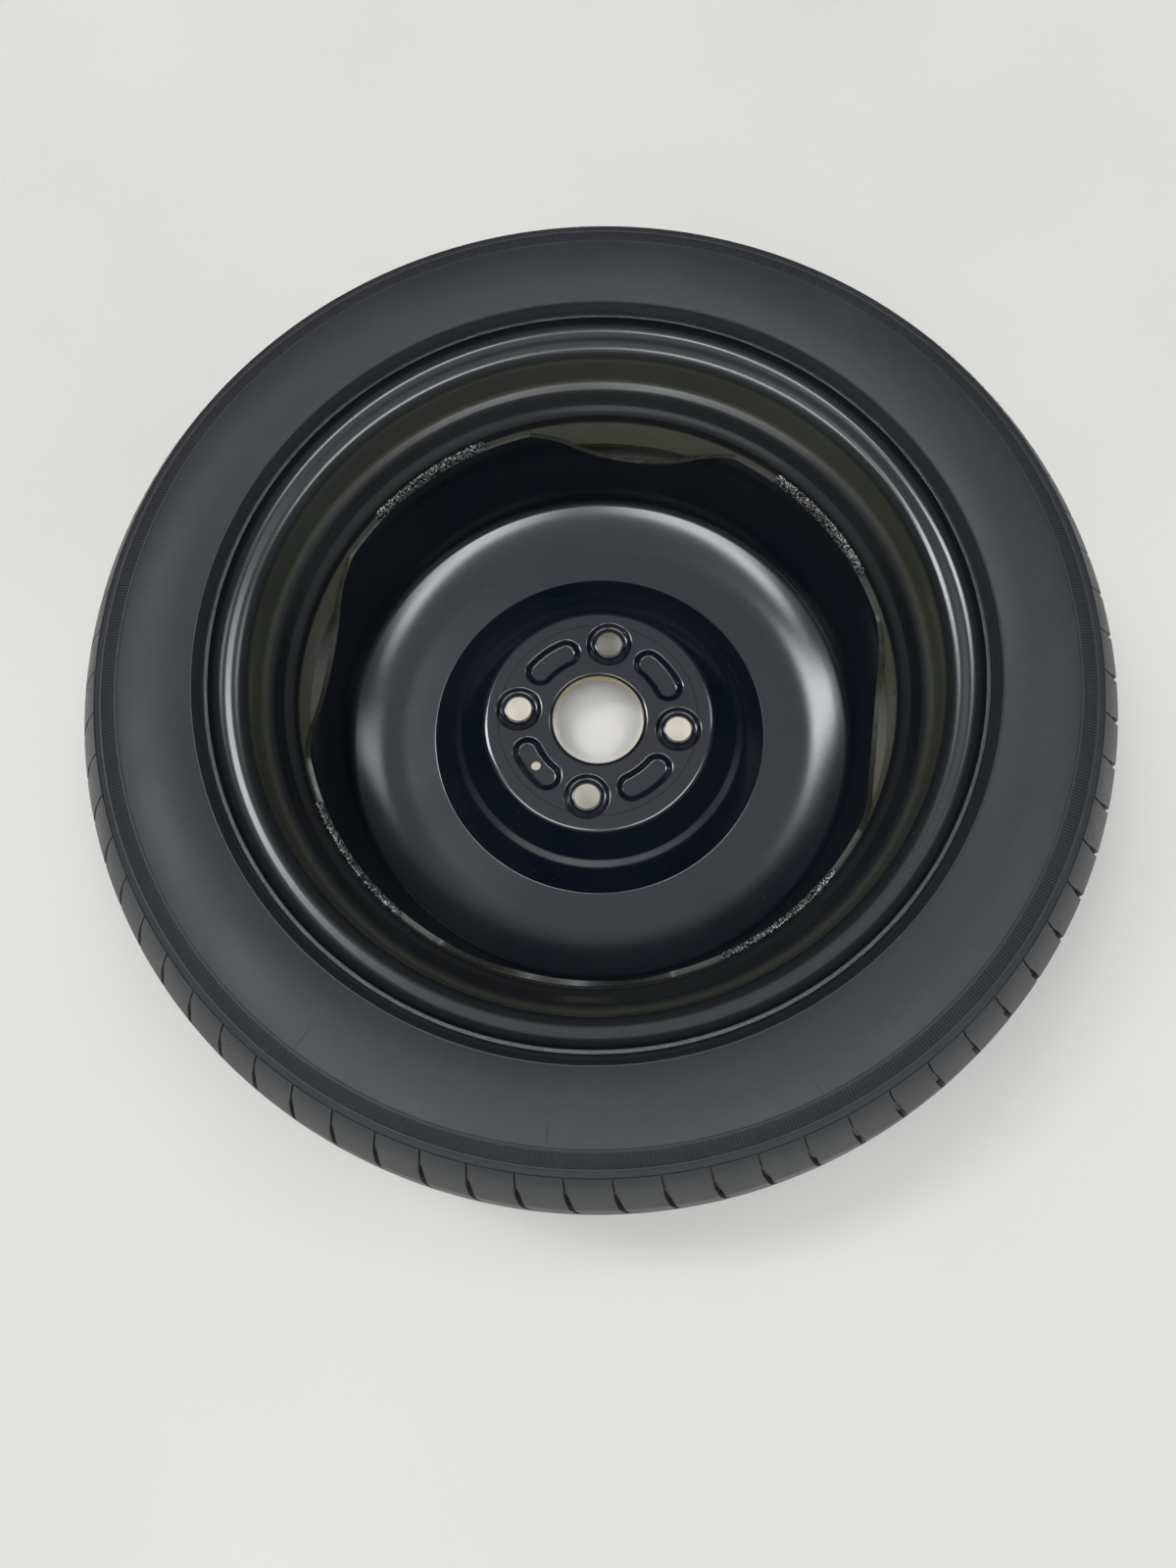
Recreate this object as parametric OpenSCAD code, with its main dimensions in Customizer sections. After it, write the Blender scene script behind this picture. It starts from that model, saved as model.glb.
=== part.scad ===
// Compact spare wheel: a narrow tyre on a welded two-piece steel wheel, with its snap-in valve.
// It lies on the crown of its disc, with the side that meets the hub facing up.
// The origin is the centre of the hub mounting face, and +Z is the wheel axis, pointing inboard.

/* [Rim] */
// Bead seat diameter at the flange heel
rim_d = 380.2; // [370:0.1:440]
// Width between the two flanges
rim_w = 101.6; // [98:0.1:108]
// Thickness of the rim sheet
rim_sheet = 2.3; // [1.8:0.1:2.8]
// Height of a flange above the bead seat
flange_h = 17.3; // [16:0.1:20]
// How far a flange's rolled lip reaches sideways from its tyre face
flange_lip = 11; // [10.5:0.1:13]
// Outer radius of the flange curl, on the tyre side
flange_curl = 9.5; // [9:0.1:9.9]
// Heel radius between the bead seat and the flange
heel_r = 6.5; // [5.5:0.1:7]
// Taper of the bead seats
seat_taper = 5; // [4:0.1:6]
// Depth of the drop well below the bead seat, on the tyre side
well_depth = 17.8; // [16.5:0.1:20]
// Offset of the rim's centre plane from the hub mounting face
wheel_offset = 50; // [45:0.1:55]

/* [Disc] */
// Thickness of the disc sheet
disc_sheet = 3; // [2.4:0.1:3.6]
// Diameter of the centre bore
bore_d = 56.1; // [50:0.1:60]
// Depth of the neck drawn around the centre bore
neck_h = 8; // [6:0.1:12]
// Diameter of the flat pad that meets the hub
pad_d = 141; // [138:0.5:148]
// Depth of the disc's crown below the pad
crown_depth = 27; // [24:0.5:30]
// Draft of the disc's skirt
skirt_draft = 7.5; // [6.5:0.1:8.5]
// Distance of the skirt's edge below the upper end of the rim's well
skirt_inset = 2.2; // [1.5:0.1:4]
// Length of the skirt's straight landing inside the well
landing_h = 8.5; // [6:0.1:11]
// Gap between the skirt's landing and the well, which the welds close
skirt_gap = 0.1; // [0.05:0.05:0.2]

/* [Stud holes] */
// Diameter of the circle through the stud holes
stud_pcd = 100; // [98:0.1:102]
// Diameter of a stud hole
stud_hole_d = 16; // [14:0.1:17]
// Diameter of the pressed ring around a stud hole
stud_ring_d = 28.5; // [27:0.1:29]
// Depth of the pressed ring
stud_ring_depth = 2.6; // [1.8:0.1:3.2]

/* [Pockets] */
// Radius of the circle that the pockets follow
pocket_r = 48.2; // [47:0.1:49]
// Half of the angle between the centres of a pocket's round ends
pocket_half_angle = 12; // [9:0.1:13]
// Width of a pocket's flat floor
pocket_floor_w = 10.5; // [9:0.1:11.5]
// Width of a pocket at the pad
pocket_mouth_w = 19; // [17.5:0.1:20]
// Depth of a pocket
pocket_depth = 3.4; // [2:0.1:4]
// Diameter of the locating hole in one pocket
locator_d = 6; // [4:0.1:8]

/* [Windows] */
// Half of the angle that a window takes from the skirt's edge
window_half_angle = 22; // [19:0.1:24]
// Half of the angle of a window's curved bottom
window_curve_angle = 14; // [12:0.1:15]
// Depth of a window's straight shoulders
window_shoulder = 15.5; // [12:0.1:16]
// Depth of a window at its middle
window_depth = 32; // [26:0.1:34]

/* [Welds] */
// Half of the angle that a weld bead covers
weld_half_angle = 13.7; // [8:0.1:18]
// Leg of a weld along the well
weld_leg = 6; // [4:0.1:7]

/* [Tyre] */
// Height of the tyre above the bead seat
section_h = 94.9; // [93:0.1:100]
// Section width of the tyre
section_w = 138; // [136:0.5:146]
// Width of the tread
tread_w = 80; // [76:0.5:84]
// How much the tread falls from its middle to its edge
crown_drop = 4.7; // [3.5:0.1:6]
// Depth of the tread grooves
groove_depth = 4.5; // [3:0.1:5.5]
// Width of a tread groove
groove_w = 6; // [4:0.1:7]
// Distance between the tread grooves
groove_pitch = 20; // [18:0.1:22]
// Number of slots around each shoulder
slot_count = 72; // [60:1:80]
// Depth of a slot at the tread edge
slot_depth = 4; // [2.5:0.1:5]
// Width of a slot at the tread edge
slot_w = 2.8; // [2:0.1:3.6]
// Width of the thin end of a slot on the sidewall
slot_tip_w = 0.9; // [0.6:0.1:1.2]
// Angle by which a slot curves away from a straight radius
slot_lean = 0.8; // [0:0.1:1.2]
// Gap between the tyre's beads and the rim
bead_gap = 0.1; // [0.05:0.05:0.2]

/* [Valve] */
// Diameter of the valve hole in the rim
valve_hole_d = 11.3; // [10.8:0.1:11.8]
// Diameter of the rubber where it swells outside the hole
valve_swell_d = 13.8; // [13:0.1:14.2]
// Diameter of the rubber's foot inside the rim
valve_foot_d = 15.6; // [14.4:0.1:16.4]
// Distance from the rim to the end of the rubber
valve_rubber_l = 24; // [20:0.1:26]
// Diameter of the brass tube
valve_tube_d = 7.7; // [7:0.1:8]
// Bore of the brass tube
valve_bore_d = 5; // [4.4:0.1:5.4]
// Distance from the rim to the tip of the brass tube
valve_tip_l = 33; // [30:0.1:34]
// Wall of the cap
valve_cap_wall = 0.9; // [0.7:0.1:1.2]
// Gap between parts of the valve that push or screw together
valve_gap = 0.1; // [0.05:0.05:0.2]

/* [Hidden] */
$fn = 96;
lug_step = 90;
half_step = lug_step / 2;
over = 1;

// Rim section on the sheet's middle line: radius, and distance along the axis from the centre plane
half_w = rim_w / 2;
seat_r = rim_d / 2;
seat_slope = tan(seat_taper);
heel_mid_r = seat_r - rim_sheet / 2;
wall_x = half_w + rim_sheet / 2;
lip_r = seat_r + flange_h - rim_sheet / 2;
lip_x = half_w + flange_lip;
curl_mid = flange_curl - rim_sheet / 2;
heel_mid = heel_r + rim_sheet / 2;
well_mid_r = seat_r - well_depth - rim_sheet / 2;
well_bore_r = well_mid_r - rim_sheet / 2;
bend_tight = 4;
bend_well = 8;
bend_foot = 4.5;

// Inboard side: the bead seat ends at a ledge, then a steep riser and a shelf lead into the well
ledge_x = half_w - 22.2;
ledge_r = heel_mid_r - (wall_x - ledge_x) * seat_slope;
riser_top = [ledge_r - 5.4, ledge_x - 3.2];
riser_foot = [riser_top[0] - 4.7, riser_top[1] - 7.5];
shelf_angle = 35;
shelf_end_x = riser_foot[1] - (riser_foot[0] - well_mid_r) * tan(shelf_angle);
well_top_x = shelf_end_x - bend_well * tan((90 - shelf_angle) / 2);

// Outboard side: one gently sloping shelf, which carries the valve
valve_slope = 15;
outer_ledge_x = half_w - 30;
outer_ledge_r = heel_mid_r - (wall_x - outer_ledge_x) * seat_slope;
well_foot_x = outer_ledge_x - (outer_ledge_r - well_mid_r) * tan(valve_slope);

// Disc section on the sheet's middle line: radius, and height
bore_r = bore_d / 2;
mid_z = -disc_sheet / 2;
neck_mid_r = bore_r + disc_sheet / 2;
neck_bend = 0.7 + disc_sheet / 2;
crown_z = mid_z - crown_depth;
pad_r = pad_d / 2;
bend_pad = 5;
bend_step = 7;
bend_crown = 6;
bend_skirt = 22 + disc_sheet / 2;
bend_landing = 12;
skirt_top = wheel_offset + well_top_x - skirt_inset;
skirt_outer_r = well_bore_r - skirt_gap;
skirt_mid_r = skirt_outer_r - disc_sheet / 2;
landing_z = skirt_top - landing_h;
skirt_foot_r = skirt_mid_r - (landing_z - crown_z) * tan(skirt_draft);

// Windows, in the plane that touches the skirt's outer face
window_half_w = skirt_outer_r * sin(window_half_angle);
window_curve_w = skirt_outer_r * sin(window_curve_angle);
window_kink_z = skirt_top - window_shoulder;
window_sag = window_depth - window_shoulder;
window_arc_r = (window_curve_w * window_curve_w + window_sag * window_sag) / (2 * window_sag);

// Stud holes: a ring pressed outboard, with a collar around the hole that is flush with the pad
stud_r = stud_pcd / 2;
stud_hole_r = stud_hole_d / 2;
stud_ring_r = stud_ring_d / 2;
stud_seat_top = -2.2;
stud_seat_angle = 30;

// Tyre section: distance along the axis from the centre plane, and radius
tyre_r = seat_r + section_h;
half_section = section_w / 2;
tread_x = tread_w / 2;
tread_edge_r = tyre_r - crown_drop;
side_arc_r = 74;
widest_r = seat_r + 47.9;
band_r = seat_r + 74.3;
side_step = 0.7;
rib_h = 0.5;
rib_half_w = 0.7;
rib_radii = [seat_r + 70.4, seat_r + 61.6, seat_r + flange_h + 5.6];
toe_x = 33;
slot_start_x = tread_x - 15;

// Valve, along its own axis, which leaves the rim's outboard shelf at a right angle
valve_turn = 270;
valve_seat_r = (well_mid_r + outer_ledge_r) / 2 + 0.5;
valve_seat_x = -well_foot_x - (valve_seat_r - well_mid_r) * tan(valve_slope);
valve_foot_l = rim_sheet / 2 + 4.2;
valve_tube_r = valve_tube_d / 2;
valve_cap_r = valve_tube_r + valve_gap + valve_cap_wall;

function unit(v) = v / norm(v);
function left(v) = [-v[1], v[0]];
function turned(v, a) = [v[0] * cos(a) - v[1] * sin(a), v[0] * sin(a) + v[1] * cos(a)];

// One corner of a path, at b between a and c, rounded by an arc of radius r
function corner(a, b, c, r) =
    let (u = unit(a - b), v = unit(c - b), half = acos(u * v) / 2, bend = 180 - 2 * half,
        m = b + unit(u + v) * r / sin(half), d = b + u * r / tan(half) - m,
        hand = u[1] * v[0] - u[0] * v[1] > 0 ? 1 : -1, n = max(2, ceil(bend / 12)))
    [for (i = [0:n]) m + turned(d, hand * bend * i / n)];

// A path through corners [x, y, bend radius], where the first and the last are plain ends
function path(p) = let (q = [for (k = p) [k[0], k[1]]], e = len(p) - 1)
    concat([q[0]], [for (i = [1:e - 1]) each corner(q[i - 1], q[i], q[i + 1], p[i][2])], [q[e]]);

// The path moved sideways by d, each point along the mean normal of its two legs
function beside(q, d) = let (e = len(q) - 1) [for (i = [0:e])
    let (a = unit(q[max(i, 1)] - q[max(i, 1) - 1]), b = unit(q[min(i, e - 1) + 1] - q[min(i, e - 1)]),
        n = unit(left(a) + left(b)))
    q[i] + n * d / (n * left(a))];

function backwards(q) = [for (i = [len(q) - 1:-1:0]) q[i]];

// The closed outline of a sheet of thickness t along a path
function sheet(q, t) = concat(beside(q, t / 2), backwards(beside(q, -t / 2)));

// An S-shaped press edge from a floor at [x0, y0] to a rim at [x1, y1], made of two equal arcs
function press_edge(x0, y0, x1, y1, n = 3) =
    let (a = 2 * atan(abs(y1 - y0) / (x1 - x0)), r = (x1 - x0) / (2 * sin(a)), s = sign(y1 - y0))
    concat([for (i = [0:n]) [x0 + r * sin(a * i / n), y0 + s * r * (1 - cos(a * i / n))]],
        [for (i = [n - 1:-1:0]) [x1 - r * sin(a * i / n), y1 - s * r * (1 - cos(a * i / n))]]);

rim_path = path([
    [lip_r, lip_x], [lip_r, wall_x, curl_mid], [heel_mid_r, wall_x, heel_mid],
    [ledge_r, ledge_x, bend_tight], [riser_top[0], riser_top[1], bend_tight],
    [riser_foot[0], riser_foot[1], bend_tight], [well_mid_r, shelf_end_x, bend_well],
    [well_mid_r, -well_foot_x, bend_foot], [outer_ledge_r, -outer_ledge_x, bend_tight],
    [heel_mid_r, -wall_x, heel_mid], [lip_r, -wall_x, curl_mid], [lip_r, -lip_x]
]);

// From the bore's neck over the pad, down two steps to the flat crown, and up the skirt
disc_path = path([
    [neck_mid_r, -neck_h], [neck_mid_r, mid_z, neck_bend], [pad_r, mid_z, bend_pad],
    [pad_r + 15, mid_z - 0.48 * crown_depth, bend_step],
    [pad_r + 20.5, mid_z - 0.56 * crown_depth, bend_step],
    [pad_r + 33.5, mid_z - 0.93 * crown_depth, bend_pad], [pad_r + 50.5, crown_z, bend_crown],
    [skirt_foot_r, crown_z, bend_skirt], [skirt_mid_r, landing_z, bend_landing],
    [skirt_mid_r, skirt_top]
]);

// Half-width of the tyre's sidewall at a radius, and radius of its tread at a distance from the middle
function side_x(r) = half_section - side_arc_r + sqrt(pow(side_arc_r, 2) - pow(r - widest_r, 2));
function tread_r(x) = tyre_r - crown_drop * pow(x / tread_x, 2);

// A moulded rib around the sidewall, seen in section
function rib(r) = [
    [side_x(r + rib_half_w), r + rib_half_w], [side_x(r) + rib_h, r + rib_half_w / 2],
    [side_x(r) + rib_h, r - rib_half_w / 2], [side_x(r - rib_half_w), r - rib_half_w]
];

// The shoulder as a slightly bulging curve from the tread's edge to the step above the sidewall band
shoulder_end = [side_x(band_r) + side_step, band_r];
shoulder_mid = ([tread_x, tread_edge_r] + shoulder_end) / 2 + [1.1, 1.2];
function shoulder(t) = pow(1 - t, 2) * [tread_x, tread_edge_r] + 2 * t * (1 - t) * shoulder_mid
    + pow(t, 2) * shoulder_end;

// One half of the tyre's outside, from the middle of the tread to the toe of the bead
groove_foot = seat_r + flange_h + 2.2;
curl_corner_r = seat_r + flange_h - flange_curl + (flange_curl + bead_gap) * tan(22.5);
tyre_outside = concat(
    [for (i = [0:6]) [tread_x * i / 6, tread_r(tread_x * i / 6)]],
    [for (i = [1:6]) shoulder(i / 6)],
    [[side_x(band_r - 0.3), band_r - 0.3]],
    rib(rib_radii[0]),
    rib(rib_radii[1]),
    [for (i = [1:7]) let (r = rib_radii[1] + (rib_radii[2] - rib_radii[1]) * i / 8) [side_x(r), r]],
    rib(rib_radii[2]),
    path([
        [side_x(rib_radii[2]) - 1.5, rib_radii[2] - 1.2],
        [half_w - bead_gap + groove_foot - curl_corner_r, groove_foot, 3],
        [half_w - bead_gap, curl_corner_r, flange_curl + bead_gap],
        [half_w - bead_gap, seat_r + bead_gap * (1 - seat_slope), heel_r],
        [toe_x, seat_r + bead_gap - (half_w - toe_x) * seat_slope]
    ])
);

// One half of the tyre's inside, from the toe of the bead to the middle of the tread
tyre_inside = path([
    [toe_x + 0.4, seat_r + 1.5], [toe_x + 6, seat_r + 13, 10], [half_section - 12, seat_r + 25, 14],
    [half_section - 5.5, seat_r + 45, 30], [half_section - 9, band_r - 8, 16],
    [tread_x + 2, tyre_r - 16.5, 20], [0, tyre_r - 11.5]
]);

function mirrored(q) = [for (k = backwards(q)) [-k[0], k[1]]];
function as_rings(q) = [for (k = q) [k[1], k[0]]];

// The band that the shoulder slots reach down to, in section
slot_band = [
    [slot_start_x, tyre_r + over], [slot_start_x, tread_r(slot_start_x) - slot_depth],
    [tread_x, tread_edge_r - slot_depth], [shoulder(0.5)[0] - 1.9, shoulder(0.5)[1] - 2.4],
    [shoulder(0.85)[0] - 0.9, shoulder(0.85)[1] - 0.9], [shoulder_end[0] - side_step, band_r],
    [shoulder_end[0] + over, band_r], [shoulder_end[0] + over, tyre_r + over]
];

// Places a child at every lug position
module at_lugs(start = 0) {
    for (i = [0:3]) rotate([0, 0, start + i * lug_step]) children();
}

// One shoulder slot in plan: thin on the sidewall, wide at the tread edge, and slightly curved
module slot_plan() {
    reach = tread_edge_r - band_r;
    shares = [-0.05, 0.3, 0.5, 0.7, 1, 1.45];
    widths = [slot_tip_w, slot_tip_w, (slot_tip_w + slot_w) / 2, slot_w, slot_w, slot_w];
    spine = [for (s = shares) (band_r + s * reach) * [cos(slot_lean * s * s), sin(slot_lean * s * s)]];
    flank = [for (i = [0:5]) [0, widths[i] / 2]];
    polygon(concat(spine + flank, backwards(spine - flank)));
}

// All the slots of one shoulder, cut off at the depth that the slot band gives
module shoulder_slots() {
    intersection() {
        rotate_extrude() polygon(as_rings(slot_band));
        union() {
            for (i = [0:slot_count - 1]) rotate([0, 0, i * 360 / slot_count])
                translate([0, 0, slot_start_x - over])
                    linear_extrude(half_section - slot_start_x + 2 * over) slot_plan();
        }
    }
}

module tyre() {
    color("#2b2d30") translate([0, 0, wheel_offset]) difference() {
        rotate_extrude() difference() {
            polygon(as_rings(concat(tyre_outside, tyre_inside, mirrored(tyre_inside), mirrored(tyre_outside))));
            for (i = [-1:1]) translate([tyre_r - groove_depth, i * groove_pitch - groove_w / 2])
                square([groove_depth + over, groove_w]);
        }
        shoulder_slots();
        mirror([0, 0, 1]) shoulder_slots();
    }
}

// The valve's own frame: +Z leads from the rim's sheet to the tip of the valve
module at_valve() {
    rotate([0, 0, valve_turn]) translate([valve_seat_r, 0, wheel_offset + valve_seat_x])
        rotate([0, 180 + valve_slope, 0]) children();
}

module rim_section(thickness) {
    translate([0, 0, wheel_offset]) rotate_extrude() polygon(sheet(rim_path, thickness));
}

module rim_barrel() {
    color("#17191c") difference() {
        rim_section(rim_sheet);
        at_valve() cylinder(d = valve_hole_d, h = 4 * rim_sheet, center = true);
    }
}

// Sweeps a half section around a pocket: along its arc, and around each of its round ends
module pocket_sweep(half) {
    whole = concat(half, [for (k = backwards(half)) [-k[0], k[1]]]);
    rotate([0, 0, -pocket_half_angle]) rotate_extrude(angle = 2 * pocket_half_angle)
        translate([pocket_r, 0]) polygon(whole);
    for (s = [0, 1]) rotate([0, 0, (2 * s - 1) * pocket_half_angle]) translate([pocket_r, 0, 0])
        rotate([0, 0, 180 * (1 - s)]) rotate_extrude(angle = 180) polygon(half);
}

module pocket_recess() {
    edge = press_edge(pocket_floor_w / 2, -pocket_depth, pocket_mouth_w / 2, 0);
    pocket_sweep(concat([[0, -pocket_depth]], edge, [[pocket_mouth_w / 2, over], [0, over]]));
}

module pocket_boss() {
    wall = 1.3;
    low = -pocket_depth - disc_sheet;
    pocket_sweep([
        [0, low], [pocket_floor_w / 2 + wall, low], [pocket_mouth_w / 2 + wall, mid_z], [0, mid_z]
    ]);
}

module stud_recess() {
    floor_z = -stud_ring_depth;
    collar_r = stud_hole_r + 1;
    collar_foot = collar_r + 1.9;
    collar_head = collar_r - 1.9 * over / stud_ring_depth;
    edge = press_edge(collar_foot + 0.6, floor_z, stud_ring_r, 0);
    rotate_extrude() polygon(concat(
        [[collar_head, over], [collar_foot, floor_z]], edge, [[stud_ring_r, over]]
    ));
}

module stud_boss() {
    wall = 1.1;
    low = -stud_ring_depth - disc_sheet;
    rotate_extrude() polygon([
        [0, low], [stud_hole_r + 4.6, low], [stud_ring_r + wall, mid_z], [0, mid_z]
    ]);
}

// A stud hole with the cone that the nut seats in on the outboard side
module stud_hole() {
    low = -stud_ring_depth - disc_sheet - over;
    cylinder(r = stud_hole_r, h = 40, center = true);
    translate([0, 0, low]) cylinder(r1 = stud_hole_r + (stud_seat_top - low) * tan(stud_seat_angle),
        r2 = stud_hole_r, h = stud_seat_top - low);
}

// A window seen from the side: straight shoulders, and an arc for its bottom
module window_plan() {
    centre_z = window_kink_z - window_sag + window_arc_r;
    sweep = asin(window_curve_w / window_arc_r);
    polygon(concat(
        [[-window_half_w, skirt_top + over], [-window_half_w, skirt_top]],
        [for (i = [-8:8]) [window_arc_r * sin(sweep * i / 8), centre_z - window_arc_r * cos(sweep * i / 8)]],
        [[window_half_w, skirt_top], [window_half_w, skirt_top + over]]
    ));
}

module disc() {
    color("#101216") difference() {
        union() {
            rotate_extrude() polygon(sheet(disc_path, disc_sheet));
            at_lugs(half_step) pocket_boss();
            at_lugs() translate([stud_r, 0, 0]) stud_boss();
        }
        at_lugs(half_step) pocket_recess();
        at_lugs() translate([stud_r, 0, 0]) stud_recess();
        at_lugs() translate([stud_r, 0, 0]) stud_hole();
        rotate([0, 0, half_step + 2 * lug_step]) translate([pocket_r, 0, 0])
            cylinder(d = locator_d, h = 40, center = true);
        at_lugs() translate([skirt_foot_r - 15, 0, 0]) rotate([90, 0, 90])
            linear_extrude(skirt_outer_r - skirt_foot_r + 20) window_plan();
    }
}

// A fillet weld on the skirt's edge, against the wall of the well
module weld(index) {
    reach = disc_sheet + skirt_gap;
    section = concat([[well_bore_r, skirt_top]], [for (i = [0:6])
        [well_bore_r - reach * sin(15 * i), skirt_top + weld_leg * cos(15 * i)]]);
    color("#8d9094") rotate([0, 0, half_step + (index - 1) * lug_step - weld_half_angle])
        rotate_extrude(angle = 2 * weld_half_angle) polygon(section);
}

// The rubber grips the rim around the hole, and its foot follows the rim's bends
module valve_rubber() {
    face = rim_sheet / 2;
    neck_r = (valve_hole_d - valve_gap) / 2;
    foot_r = valve_foot_d / 2;
    swell_r = valve_swell_d / 2;
    end_r = valve_tube_r + 1.1;
    color("#1b1c1e") difference() {
        at_valve() rotate_extrude() polygon([
            [valve_tube_r, -valve_foot_l], [foot_r - 2.5, -valve_foot_l], [foot_r, 1.6 - valve_foot_l],
            [foot_r, -face], [neck_r, -face], [neck_r, face], [swell_r - 0.4, face],
            [swell_r, face + 1.4], [swell_r - 0.2, face + 3], [end_r + 0.9, face + 8],
            [end_r + 0.2, valve_rubber_l - 1], [end_r - 0.3, valve_rubber_l], [valve_tube_r, valve_rubber_l]
        ]);
        difference() {
            rim_section(rim_sheet + valve_gap);
            at_valve() cylinder(r = neck_r, h = 4 * rim_sheet, center = true);
        }
    }
}

module valve_tube() {
    color("#b79a5b") at_valve() difference() {
        translate([0, 0, -valve_foot_l]) cylinder(r = valve_tube_r, h = valve_tip_l + valve_foot_l);
        translate([0, 0, -valve_foot_l - over])
            cylinder(d = valve_bore_d, h = valve_tip_l + valve_foot_l + 2 * over);
    }
}

// The core screws into the tube: a barrel with a thin pin at each end
module valve_core() {
    core_r = valve_bore_d / 2 - valve_gap;
    color("#c4b27a") at_valve() rotate_extrude() polygon([
        [0, 6], [1.2, 6], [1.2, 10], [core_r, 10], [core_r, valve_tip_l - 3],
        [0.8, valve_tip_l - 3], [0.8, valve_tip_l - 0.5], [0, valve_tip_l - 0.5]
    ]);
}

module valve_cap() {
    low = valve_rubber_l + 0.5;
    top = valve_tip_l + valve_gap + valve_cap_wall;
    color("#1b1c1e") at_valve() difference() {
        union() {
            translate([0, 0, low]) cylinder(r = valve_cap_r, h = top - 1 - low);
            translate([0, 0, top - 1]) cylinder(r1 = valve_cap_r, r2 = valve_cap_r - 1, h = 1);
            for (i = [0:11]) rotate([0, 0, i * 30]) translate([valve_cap_r, 0, low + 1])
                cylinder(r = 0.35, h = top - 2.4 - low, $fn = 16);
        }
        translate([0, 0, low - over]) cylinder(r = valve_tube_r + valve_gap, h = valve_tip_l + valve_gap - low + over);
    }
}

tyre();
rim_barrel();
disc();
weld(1);  // weld_1
weld(2);  // weld_2
weld(3);  // weld_3
weld(4);  // weld_4
valve_rubber();
valve_tube();
valve_core();
valve_cap();
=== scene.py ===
"""Looks of a compact spare wheel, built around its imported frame."""
import math
import bpy
import numpy as np
from bpy.props import FloatProperty, FloatVectorProperty, IntProperty, PointerProperty
from mathutils import Matrix, Vector


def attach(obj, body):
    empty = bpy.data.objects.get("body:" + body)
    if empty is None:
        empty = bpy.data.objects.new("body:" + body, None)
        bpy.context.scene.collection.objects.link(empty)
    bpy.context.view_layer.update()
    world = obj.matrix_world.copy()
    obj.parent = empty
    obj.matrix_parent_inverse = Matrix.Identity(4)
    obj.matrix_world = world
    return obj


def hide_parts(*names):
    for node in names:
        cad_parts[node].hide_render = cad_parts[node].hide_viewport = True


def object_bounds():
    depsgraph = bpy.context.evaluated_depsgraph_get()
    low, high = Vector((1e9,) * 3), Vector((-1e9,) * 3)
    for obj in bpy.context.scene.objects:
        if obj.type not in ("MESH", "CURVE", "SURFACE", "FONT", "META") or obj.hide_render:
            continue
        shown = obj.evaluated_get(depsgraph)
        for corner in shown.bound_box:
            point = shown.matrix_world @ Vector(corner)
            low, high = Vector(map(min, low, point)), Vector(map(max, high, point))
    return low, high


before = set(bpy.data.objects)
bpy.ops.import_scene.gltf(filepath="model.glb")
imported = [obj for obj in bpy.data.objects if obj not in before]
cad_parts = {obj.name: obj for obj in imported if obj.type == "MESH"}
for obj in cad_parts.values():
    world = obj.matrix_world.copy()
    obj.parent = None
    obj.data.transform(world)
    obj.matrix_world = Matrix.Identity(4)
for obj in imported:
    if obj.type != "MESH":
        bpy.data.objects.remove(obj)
CAD_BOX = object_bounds()

bl_info = {
    "name": "Compact spare wheel",
    "version": (1, 0, 0),
    "blender": (4, 5, 0),
    "location": "3D View > Sidebar > Wheel",
    "description": "Builds the tyre, rim, disc, welds, valve and stage of a compact spare wheel",
    "category": "Object",
}

MM = 0.001
COLUMNS = 432
LUG_STEP = 90.0
PHOTO_TURN = 12.0
SIDE_NAMES = {1: "hub", -1: "outer"}

# Sizes in millimetres and degrees. They follow the frame's solids, but the skirt's edge and the sidewall
# stay less than 0.1 mm inside them, and the crown is dished more evenly.
FLANGE_HEIGHT, FLANGE_LIP, FLANGE_CURL, HEEL_BEND = 17.3, 11, 9.5, 6.5
SEAT_SLOPE, WELL_DEPTH, FIT_GAP = math.tan(math.radians(5)), 17.8, 0.1
PAD_RADIUS, CROWN_DEPTH, SKIRT_TOP, LANDING = 70.5, 27, 57.5, 8.5
WINDOW_ANGLE, WINDOW_ARC_ANGLE, WINDOW_SHOULDER, WINDOW_SAG = 22, 14, 15.5, 16.5
STUD_RADIUS, STUD_RING_DEPTH, NUT_CONE_TOP = 8.0, 2.6, -2.2
POCKET_CIRCLE, POCKET_HALF_ANGLE, POCKET_DEPTH = 48.2, math.radians(12), 3.4
LOCATOR_RADIUS, LOCATOR_TURN = 3.0, 225
TREAD_HALF, TREAD_DROP, GROOVE_DEPTH, GROOVE_EDGES = 40.0, 4.7, 4.5, (3.0, 17.0, 23.0)
SIDE_HALF, SIDE_ARC, SIDE_WIDEST, BAND_HEIGHT, BAND_STEP = 68.98, 74.0, 47.9, 74.3, 0.7
WELD_HALF_ANGLE = 13.7


class WheelSizes(bpy.types.PropertyGroup):
    """Sizes of the steel wheel and its tyre, close to those of the frame's solids."""
    bead_radius: FloatProperty(name="Bead seat radius", description="Tyre side of the seat at its heel",
                               default=190.1, unit="NONE")
    rim_half_width: FloatProperty(name="Half rim width", description="From the centre plane to a flange",
                                  default=50.8)
    rim_sheet: FloatProperty(name="Rim sheet", description="Thickness of the rim's steel", default=2.3)
    disc_sheet: FloatProperty(name="Disc sheet", description="Thickness of the disc's steel", default=3.0)
    offset: FloatProperty(name="Offset", description="Centre plane above the hub face", default=50.0)
    tyre_radius: FloatProperty(name="Tyre radius", description="At the middle of the tread", default=284.95)
    bore_radius: FloatProperty(name="Bore radius", description="Wall of the centre bore", default=28.05)
    stud_circle: FloatProperty(name="Stud circle radius", description="Centre to a stud hole", default=50.0)
    slots: IntProperty(name="Shoulder slots", description="Slots around each shoulder", default=72)


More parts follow.
